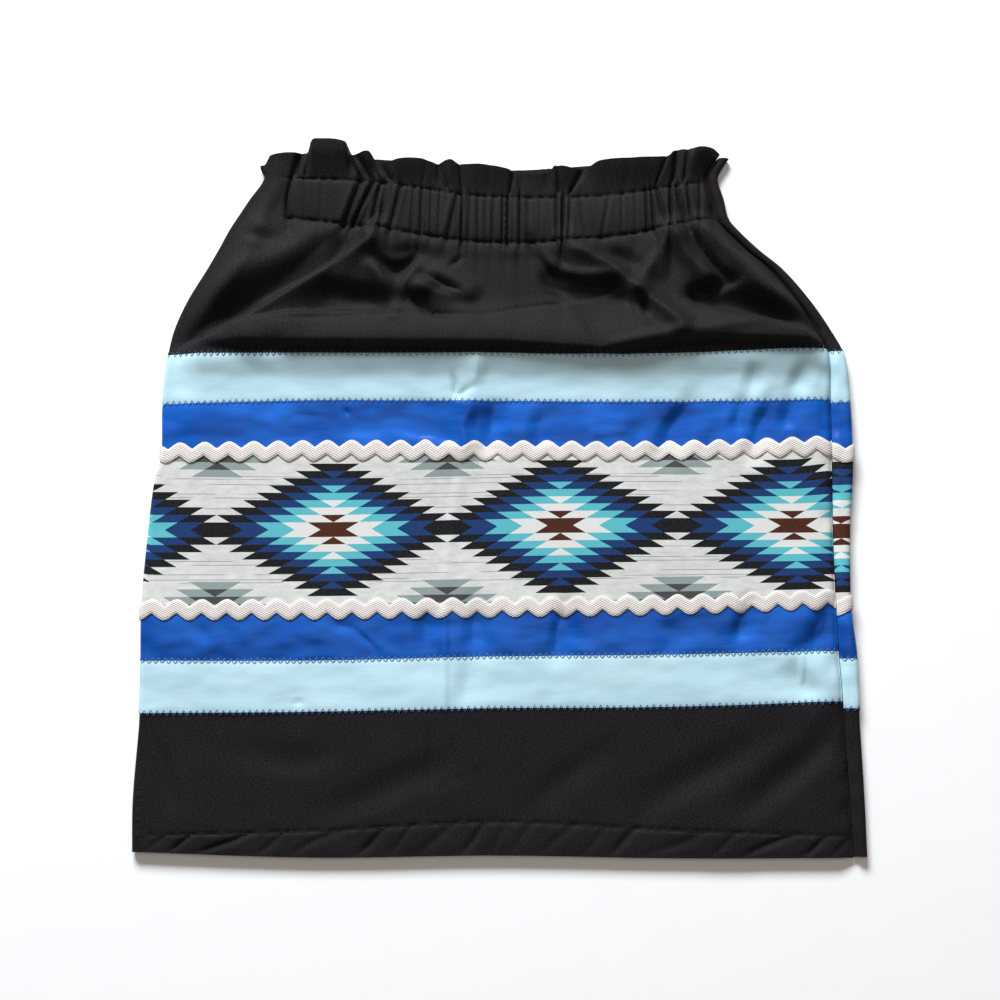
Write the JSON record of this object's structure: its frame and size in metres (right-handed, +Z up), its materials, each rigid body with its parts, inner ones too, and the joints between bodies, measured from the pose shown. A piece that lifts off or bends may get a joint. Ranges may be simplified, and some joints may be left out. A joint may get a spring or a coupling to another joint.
{
  "type": "ribbon skirt laid flat",
  "caption": "Knee-length ribbon skirt laid flat: black cotton tube with a gathered elastic waist, satin ribbons, a printed band and rickrack braid.",
  "frame": {"origin": "centre of the bounding box, on the surface that the skirt lies on", "axes": "+Z up off the surface, +Y from the hem to the waist, +X to the side with the seam, seen from above"},
  "size_m": [0.5391, 0.5411, 0.0289],
  "materials": {
    "black_cotton": "matte plain-weave cotton",
    "light_satin": "glossy satin",
    "royal_satin": "glossy satin",
    "printed_cotton": "matte printed cotton with serrated diamonds",
    "white_braid": "matte woven braid"
  },
  "bodies": {
    "root": {"body_panel": "black_cotton", "waist_casing": "black_cotton", "waist_ruffle": "black_cotton", "ribbon_light_upper": "light_satin", "ribbon_royal_upper": "royal_satin", "print_band": "printed_cotton", "ribbon_royal_lower": "royal_satin", "ribbon_light_lower": "light_satin", "rickrack_upper": "white_braid", "rickrack_lower": "white_braid"}
  },
  "joints": []
}
